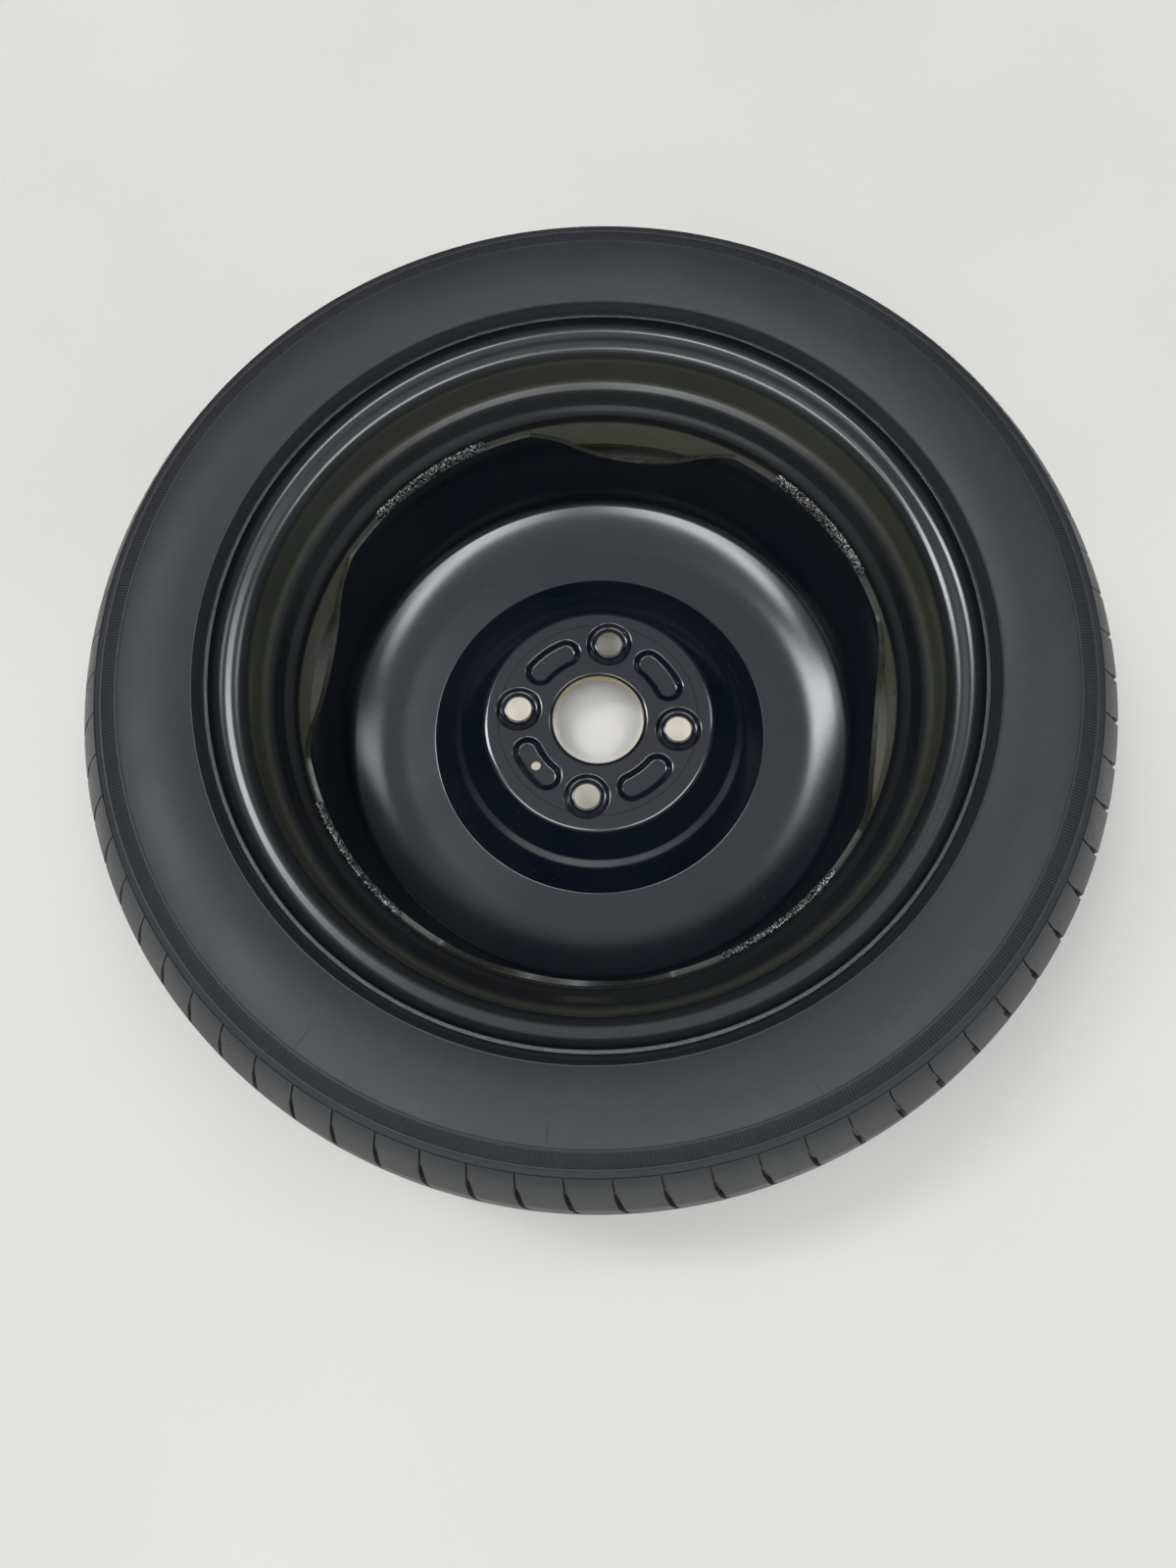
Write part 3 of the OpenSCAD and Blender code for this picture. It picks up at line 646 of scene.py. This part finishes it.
def shoulder_line(s):
    """The shoulder from the tread's edge to the step above the sidewall's band, as a quadratic curve."""
    band = s.bead_radius + BAND_HEIGHT
    start = np.array([TREAD_HALF, tread_r(TREAD_HALF, s)])
    end = np.array([side_x(band, s) + BAND_STEP, band])
    middle = (start + end) / 2 + (1.1, 1.2)
    t = np.linspace(0, 1, 22)[:, None]
    return (1 - t) ** 2 * start + 2 * t * (1 - t) * middle + t * t * end


def rib_points(r, s):
    """Section of a rib moulded around the sidewall, 1.4 mm wide at its foot and 0.5 mm high."""
    foot, head, height = 0.7, 0.35, 0.5
    return [(side_x(r + foot, s), r + foot), (side_x(r, s) + height, r + head),
            (side_x(r, s) + height, r - head), (side_x(r - foot, s), r - foot)]


def side_points(outer, inner, count, s):
    """Points of the sidewall between two ribs, 1.2 mm clear of both."""
    return [(side_x(r, s), r) for r in np.linspace(outer - 1.2, inner + 1.2, count)]


def carcass_half(s):
    """Half of the tyre's body inside its tread: band, ribs and sidewall, then bead and seat, then the liner."""
    seat, half = s.bead_radius, s.rim_half_width
    ribs = [seat + 70.4, seat + 61.6, seat + FLANGE_HEIGHT + 5.6]
    band = seat + BAND_HEIGHT
    outside = [(0.0, s.tyre_radius - 4.6), (22.9, s.tyre_radius - 6.5), (30.0, s.tyre_radius - 8.5)]
    outside += [(52.0, 267.5), (62.5, band - 0.2), (side_x(band - 0.3, s), band - 0.3)]
    outside += rib_points(ribs[0], s) + side_points(ribs[0], ribs[1], 6, s)
    outside += rib_points(ribs[1], s) + side_points(ribs[1], ribs[2], 30, s) + rib_points(ribs[2], s)
    face, curl, toe = half - FIT_GAP, FLANGE_CURL + FIT_GAP, 33.0
    groove, corner = seat + 19.5, seat + FLANGE_HEIGHT - FLANGE_CURL + curl * math.tan(math.radians(22.5))
    bead = bent_line([
        (side_x(ribs[2], s) - 1.5, ribs[2] - 1.2, 0), (face + groove - corner, groove, 3),
        (face, corner, curl), (face, seat + FIT_GAP * (1 - SEAT_SLOPE), HEEL_BEND),
        (toe, seat + FIT_GAP - (half - toe) * SEAT_SLOPE, 0),
    ], turn=8.0)
    liner = bent_line([
        (33.4, seat + 1.5, 0), (39, seat + 13, 10), (57, seat + 25, 14), (63.5, seat + 45, 30),
        (60, band - 8, 16), (42, s.tyre_radius - 16.5, 20), (0, s.tyre_radius - 11.5, 0),
    ], turn=9.0, longest=8.0)
    return np.array(outside), bead, liner


def tyre_ring(name, line, s, finish):
    """A ring of the tyre from its section (distance from the centre plane, radius)."""
    outline = np.stack([line[:, 1], line[:, 0] + s.offset], 1)
    revolved_piece(name, outline, finish, "tyre", 30.0)


def build_carcass(context, finish):
    """The tyre's body: both halves of its section as one closed ring."""
    s = context.scene.wheel_sizes
    half = np.concatenate(carcass_half(s))
    tyre_ring("tyre_body", np.concatenate([half, half[-2:0:-1] * (-1, 1)]), s, finish)


def build_tread(context, finish):
    """The middle of the tread between the outer walls of its two side grooves, with all three groove floors."""
    s = context.scene.wheel_sizes
    inner, outer, end = GROOVE_EDGES
    top = [(x, tread_r(x, s)) for x in np.linspace(inner + 0.01, outer - 0.01, 12)]
    half = [(inner, s.tyre_radius - GROOVE_DEPTH)] + top
    half += [(x, tread_r(x, s) - GROOVE_DEPTH) for x in (outer, end)] + [(end, s.tyre_radius - 8.0)]
    line = [(-x, r) for x, r in half[::-1]] + half + [(0.0, s.tyre_radius - 7.0)]
    tyre_ring("tyre_tread", np.array(line), s, finish)


def build_shoulder(context, finish, side):
    """One shoulder with its slots. Each slot has columns of its own on both walls, which follow its width and
    lean, and its floor lies below the surface along the profile's normal."""
    s = context.scene.wheel_sizes
    pitch = 2 * math.pi / s.slots
    start = GROOVE_EDGES[2]
    top = np.array([(x, tread_r(x, s)) for x in np.linspace(start, TREAD_HALF, 12)][:-1])
    line = np.concatenate([top, shoulder_line(s)])
    n = -normals_of(line)
    band, edge_r = s.bead_radius + BAND_HEIGHT, tread_r(TREAD_HALF, s)
    reach = (line[:, 1] - band) / (edge_r - band)
    reach[:len(top)] = 1 + (TREAD_HALF - top[:, 0]) / TREAD_HALF
    width = 0.9 + 1.9 * smooth((reach - 0.3) / 0.4)
    depth = np.interp(reach, [-0.01, 0.06, 0.35, 0.6, 1.0, 1.34, 1.36], [0.0, 0.9, 2.6, 3.4, 4.0, 4.0, 4.0])
    tie = np.exp(-((line[:, 1] - 273.0) / 1.6) ** 2)
    depth = depth * (1 - 0.55 * tie)
    open_row = (line[:, 0] > 25.0) | (reach < 1)
    depth = np.where(open_row, depth, 0.0)
    lean = np.radians(0.8) * np.clip(reach, 0, 1.6) ** 2
    walls = np.array([-0.5, -0.36, 0.36, 0.5])
    sunk = np.array([0.0, 1.0, 1.0, 0.0])
    land = np.linspace(0, 1, 11)[1:-1]
    r = line[:, 1:2]
    slot_turn = walls[None, :] * width[:, None] / r
    land_turn = slot_turn[:, 3:] + land[None, :] * (pitch + slot_turn[:, :1] - slot_turn[:, 3:])
    turn = np.concatenate([slot_turn, land_turn], 1) + lean[:, None]
    drop = np.concatenate([sunk[None, :] * depth[:, None], 0 * land_turn], 1)
    per = turn.shape[1]
    angle = (turn[:, None, :] + pitch * np.arange(s.slots)[None, :, None]).reshape(len(line), -1)
    drop = np.tile(drop, (1, s.slots))
    px = line[:, :1] + n[:, :1] * drop
    pr = line[:, 1:] + n[:, 1:] * drop
    back = np.array([(64.4, band - 0.4), (54.0, 263.5), (40.0, 274.0), (start, s.tyre_radius - 8.0)])
    px = np.concatenate([px, np.repeat(back[:, :1], px.shape[1], 1)])
    pr = np.concatenate([pr, np.repeat(back[:, 1:], px.shape[1], 1)])
    angle = np.concatenate([angle, np.repeat(angle[-1:], 2, 0), np.repeat(angle[:1], 2, 0)])
    points = np.stack([pr * np.cos(angle), pr * np.sin(angle), side * px + s.offset], -1)
    quads = grid_faces(len(px), s.slots * per, True, True)
    new_piece("tyre_shoulder_" + SIDE_NAMES[side], points, quads, finish, ["tyre"], 30.0)


def build_marks(context, finish):
    """Vent pips and whisker lines of the mould, each a low ellipsoid half sunk in the rubber: its length lies
    along the radius, its width around the tyre and its height along the wheel's axis."""
    s = context.scene.wheel_sizes
    step = np.arange(12) * 30.0
    slots = np.arange(s.slots) * 360.0 / s.slots
    whiskers = (58.5, 78.5, 123.5, 152.0, 243.0, 273.0, 303.5)
    kinds = [
        (252.0, 0.75, 0.75, 0.55, step + 11.0), (262.6, 0.70, 0.70, 0.50, step + 26.0),
        (213.4, 0.60, 0.60, 0.60, step + 11.0), (241.5, 8.5, 0.35, 0.32, whiskers),
        (271.6, 0.45, 0.45, 0.45, np.concatenate([slots - 0.9, slots + 1.3])),
    ]
    rows = np.array([(*kind[:4], a) for kind in kinds for a in kind[4]])
    r0, length, width, height, turn = (v[:, None, None] for v in rows.T)
    rings, spokes = 7, 12
    lat, lon = np.meshgrid(np.radians(np.linspace(-90, 90, rings)),
                           np.radians(np.arange(spokes) * 360.0 / spokes), indexing="ij")
    r = r0 + length * np.cos(lat) * np.cos(lon)
    a = np.radians(turn) + width * np.cos(lat) * np.sin(lon) / r
    line = shoulder_line(s)[::-1]
    surface = np.where(r > line[0, 1], np.interp(r, line[:, 1], line[:, 0]), side_x(r, s))
    x = np.minimum(surface + height * np.sin(lat), SIDE_HALF + 0.005)
    starts = np.arange(len(rows)) * lat.size
    quads = (grid_faces(rings, spokes, False, True)[None] + starts[:, None, None]).reshape(-1, 4)
    for side in (1, -1):
        points = np.stack([r * np.cos(a), r * np.sin(a), side * x + s.offset], -1)
        new_piece("tyre_marks_" + SIDE_NAMES[side], points, quads, finish, ["tyre"])


def build_weld(context, finish, index):
    """One fillet weld: a bulging section carried along the skirt's edge. The section shrinks to nothing at both
    ends by a circle's rule, and crescent ripples run across it."""
    root_r, root_z = well_bore(context.scene.wheel_sizes) + 0.05, SKIRT_TOP - 0.05
    steps, spokes, taper, ripple_step = 160, 17, 0.07, 0.62
    along = np.linspace(-1, 1, steps)[:, None]
    swing = np.pi / 2 * np.linspace(0, 1, spokes)[None, :]
    close = np.sqrt(np.clip(1 - np.clip((np.abs(along) - 1 + taper) / taper, 0, 1) ** 2, 0, 1))
    crescent = along * WELD_HALF_ANGLE / ripple_step - 0.8 * np.cos(swing)
    ripple = 0.16 * np.sin(2 * np.pi * crescent + 0.9 * np.sin(along * 23))
    bulge = 1 + (0.10 + ripple) * np.sin(2 * swing) + 0.05 * np.sin(along * 31 + swing * 3)
    r = root_r - 3.2 * close * bulge * np.sin(swing)
    z = SKIRT_TOP + 5.9 * close * bulge * np.cos(swing)
    root = np.stack([np.full_like(along, root_r), np.full_like(along, root_z)], -1)
    grid = np.concatenate([np.stack([r, z], -1), root], 1)
    a = np.radians((index - 0.5) * LUG_STEP + WELD_HALF_ANGLE * along)
    points = np.stack([grid[..., 0] * np.cos(a), grid[..., 0] * np.sin(a), grid[..., 1]], -1)
    points[0], points[-1] = points[0].mean(0), points[-1].mean(0)
    quads = grid_faces(steps, spokes + 1, False, True)
    new_piece(f"weld_bead_{index}", points, quads, finish, [f"weld_{index}"], 60.0)


def repaint(node, material):
    """Gives a CAD node that is shown as it is a better finish."""
    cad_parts[node].data.materials.clear()
    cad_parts[node].data.materials.append(material)


class WHEEL_OT_rim(bpy.types.Operator):
    """Build the rolled rim"""
    bl_idname = "wheel.rim"
    bl_label = "Rim"

    def execute(self, context):
        build_rim(context)
        return {"FINISHED"}


class WHEEL_OT_disc(bpy.types.Operator):
    """Build the pressed disc: its pad and its crown with four windows"""
    bl_idname = "wheel.disc"
    bl_label = "Disc"

    def execute(self, context):
        c = context.scene.wheel_colours
        finish = paint_finish("disc_paint", tuple(c.disc_paint), tuple(c.plating), 0.05, 0.11, hole_mask)
        build_crown(context, finish)
        build_pad(context, finish)
        return {"FINISHED"}


class WHEEL_OT_tyre(bpy.types.Operator):
    """Build the tyre: body, tread, two slotted shoulders and mould marks"""
    bl_idname = "wheel.tyre"
    bl_label = "Tyre"

    def execute(self, context):
        finish = rubber_finish(context.scene.wheel_colours)
        build_carcass(context, finish)
        build_tread(context, finish)
        build_shoulder(context, finish, 1)
        build_shoulder(context, finish, -1)
        build_marks(context, finish)
        return {"FINISHED"}


class WHEEL_OT_welds(bpy.types.Operator):
    """Build the four weld beads"""
    bl_idname = "wheel.welds"
    bl_label = "Welds"

    def execute(self, context):
        finish = weld_finish()
        for index in range(1, 5):
            build_weld(context, finish, index)
        return {"FINISHED"}


class WHEEL_OT_valve(bpy.types.Operator):
    """Finish the snap-in valve"""
    bl_idname = "wheel.valve"
    bl_label = "Valve"

    def execute(self, context):
        brass = tuple(context.scene.wheel_colours.brass)
        rubber = small_finish("valve_rubber", (0.012, 0.012, 0.013, 1), (0.03, 0.03, 0.032, 1), 0.5)
        brass = small_finish("valve_brass", brass, (0.40, 0.30, 0.14, 1), 0.3, 1.0)
        plastic = small_finish("cap_plastic", (0.014, 0.014, 0.015, 1), (0.03, 0.03, 0.03, 1), 0.42)
        repaint("valve_rubber", rubber)
        repaint("valve_tube", brass)
        repaint("valve_core", brass)
        repaint("valve_cap", plastic)
        return {"FINISHED"}


def area_light(name, place, size, energy, colour):
    """A rectangular lamp at a place, turned towards the hub. Sizes in metres."""
    lamp = bpy.data.lights.new(name, "AREA")
    lamp.shape, lamp.size, lamp.size_y = "RECTANGLE", size[0], size[1]
    lamp.energy, lamp.color = energy, colour
    holder = bpy.data.objects.new(name, lamp)
    bpy.context.scene.collection.objects.link(holder)
    aim = place.to_track_quat("Z", "Y").to_matrix().to_4x4()
    holder.matrix_world = Matrix.Translation(place) @ aim


class WHEEL_OT_stage(bpy.types.Operator):
    """Lay the floor, set up the light and place the camera"""
    bl_idname = "wheel.stage"
    bl_label = "Stage"

    def execute(self, context):
        scene = context.scene
        scene.view_settings.view_transform = "Standard"
        lay_floor(context)
        light_scene(context)
        place_camera(context)
        return {"FINISHED"}


def lay_floor(context):
    """The pale floor just below the wheel. It glows faintly in a ring below the stud holes and in one below the
    windows, because the photo shows it bright through them."""
    p = Paint("floor")
    tone = p.noise(2.2, 3.0, 0.5)
    base = tuple(context.scene.wheel_colours.floor)
    darker = tuple(0.93 * v for v in base[:3]) + (1.0,)
    right, far = turned((1, 0, 0), PHOTO_TURN), turned((0, 1, 0), PHOTO_TURN)
    across = p.maths("ABSOLUTE", p.x * right.x + p.y * right.y)
    along = p.x * far.x + p.y * far.y
    reach = (across * across + (along - 0.010) * (along - 0.010)) ** 0.5
    dim = p.range(along, -0.03, 0.05, 0.55, 0.16)
    under = p.band(reach, 0.034, 0.064, 0.008) * (dim + p.range(across, 0.015, 0.035) * (1 - dim))
    under = under + p.band(p.radius(), 0.130, 0.180, 0.01) * 0.12
    glow = p.mix(under, (0.0, 0.0, 0.0, 1.0), (0.52, 0.48, 0.40, 1.0))
    colour = p.mix(p.range(tone, 0.3, 0.7), base, darker)
    material = p.finish(colour, 0.6, p.bump(p.noise(90.0), 0.02, 0.001),
                        **{"Emission Color": glow, "Emission Strength": 1.0})
    mesh = bpy.data.meshes.new("floor")
    low, half_side = CAD_BOX[0][2] - 0.0002, 3.0
    corners = [(x * half_side, y * half_side, low) for x, y in ((-1, -1), (1, -1), (1, 1), (-1, 1))]
    mesh.from_pydata(corners, [], [(0, 1, 2, 3)])
    mesh.materials.append(material)
    floor = bpy.data.objects.new("floor", mesh)
    context.scene.collection.objects.link(floor)


def light_scene(context):
    """A soft tent of light: a dim dome, lighter near the zenith and on the near side. On the near side a bright
    crescent about 25 degrees off the zenith, weak in its middle, where the viewer stands. On the far side a
    bright strip on the left and a weaker one on the right. A large weak lamp gives the shadows a direction."""
    sky = Paint("tent", sky=True)
    near, right = turned((0, -1, 0), PHOTO_TURN), turned((1, 0, 0), PHOTO_TURN)
    horizon = 0.05
    toward = sky.x * near.x + sky.y * near.y
    across = sky.x * right.x + sky.y * right.y
    beside = sky.maths("ABSOLUTE", across)
    up = sky.maths("MAXIMUM", sky.z, horizon)
    dome = sky.range(sky.z, 0.0, 0.85, 0.17, 0.38) * sky.range(toward, -0.60, 0.4, 0.36, 1.15)
    dome = dome + sky.range(sky.z, 0.80, 0.92, 0.0, 0.50)
    crescent = sky.band(sky.z, 0.885, 0.925, 0.020) * sky.range(toward, -0.14, 0.06)
    glow = dome + crescent * sky.range(beside, 0.04, 0.22, 1.5, 10.0)
    far = toward / up
    left = sky.band(across / up, -0.66, -0.26, 0.12) * sky.band(far, -0.37, -0.27, 0.08)
    strip = sky.band(across / up, 0.40, 0.72, 0.12) * sky.band(far, -0.42, -0.32, 0.06)
    glow = glow + (left * 13.0 + strip * 4.0) * (sky.z > horizon)
    light = sky.node("ShaderNodeBackground", None, {"Color": (0.93, 0.97, 1.0, 1.0), "Strength": glow})
    sky.node("ShaderNodeOutputWorld", None, {"Surface": light}, out=None)
    context.scene.world = sky.material
    lamp_turn, lamp_tilt, lamp_height = -30.0, math.radians(30.0), 1.9
    out = turned((0, -1, 0), PHOTO_TURN + lamp_turn) * math.tan(lamp_tilt)
    area_light("soft_box", (out + Vector((0, 0, 1))) * lamp_height, (1.6, 1.0), 2.5, (1.0, 0.98, 0.95))


def turned(v, degrees):
    """A vector turned about the wheel's axis."""
    a = math.radians(degrees)
    return Vector((v[0] * math.cos(a) - v[1] * math.sin(a), v[0] * math.sin(a) + v[1] * math.cos(a), v[2]))


def place_camera(context):
    """The photograph's view: height and distance from the hub face, tilt, pan and roll about the view axis."""
    heading, tilt, roll = PHOTO_TURN + 2.753, math.radians(15.27), math.radians(-6.92)
    forward = turned((0, math.sin(tilt), -math.cos(tilt)), heading)
    up = turned((0, math.cos(tilt), math.sin(tilt)), heading)
    right = turned((1, 0, 0), heading)
    right, up = right * math.cos(roll) + up * math.sin(roll), up * math.cos(roll) - right * math.sin(roll)
    data = bpy.data.cameras.new("camera")
    data.sensor_width, data.lens = 36.0, 27.045
    data.clip_start = 0.01
    camera = bpy.data.objects.new("camera", data)
    context.scene.collection.objects.link(camera)
    place = turned((0, -0.2306, 0.6936), PHOTO_TURN)
    camera.matrix_world = Matrix.Translation(place) @ Matrix((right, up, -forward)).transposed().to_4x4()
    context.scene.camera = camera


class WHEEL_PT_panel(bpy.types.Panel):
    """Sizes, colours and the steps that build the wheel"""
    bl_idname = "WHEEL_PT_panel"
    bl_label = "Spare wheel"
    bl_space_type = "VIEW_3D"
    bl_region_type = "UI"
    bl_category = "Wheel"

    def draw(self, context):
        for group in (context.scene.wheel_sizes, context.scene.wheel_colours):
            for name in group.bl_rna.properties.keys()[2:]:
                self.layout.prop(group, name)
        for step in OPERATORS:
            self.layout.operator(step.bl_idname)


OPERATORS = (WHEEL_OT_stage, WHEEL_OT_rim, WHEEL_OT_disc, WHEEL_OT_welds, WHEEL_OT_tyre, WHEEL_OT_valve)
CLASSES = (WheelSizes, WheelColours) + OPERATORS + (WHEEL_PT_panel,)


def register():
    for kind in CLASSES:
        bpy.utils.register_class(kind)
    bpy.types.Scene.wheel_sizes = PointerProperty(type=WheelSizes)
    bpy.types.Scene.wheel_colours = PointerProperty(type=WheelColours)


def unregister():
    del bpy.types.Scene.wheel_sizes, bpy.types.Scene.wheel_colours
    for kind in reversed(CLASSES):
        bpy.utils.unregister_class(kind)


def main():
    register()
    bpy.ops.wheel.stage()
    bpy.ops.wheel.rim()
    bpy.ops.wheel.disc()
    bpy.ops.wheel.welds()
    bpy.ops.wheel.tyre()
    bpy.ops.wheel.valve()


if __name__ == "__main__":
    main()
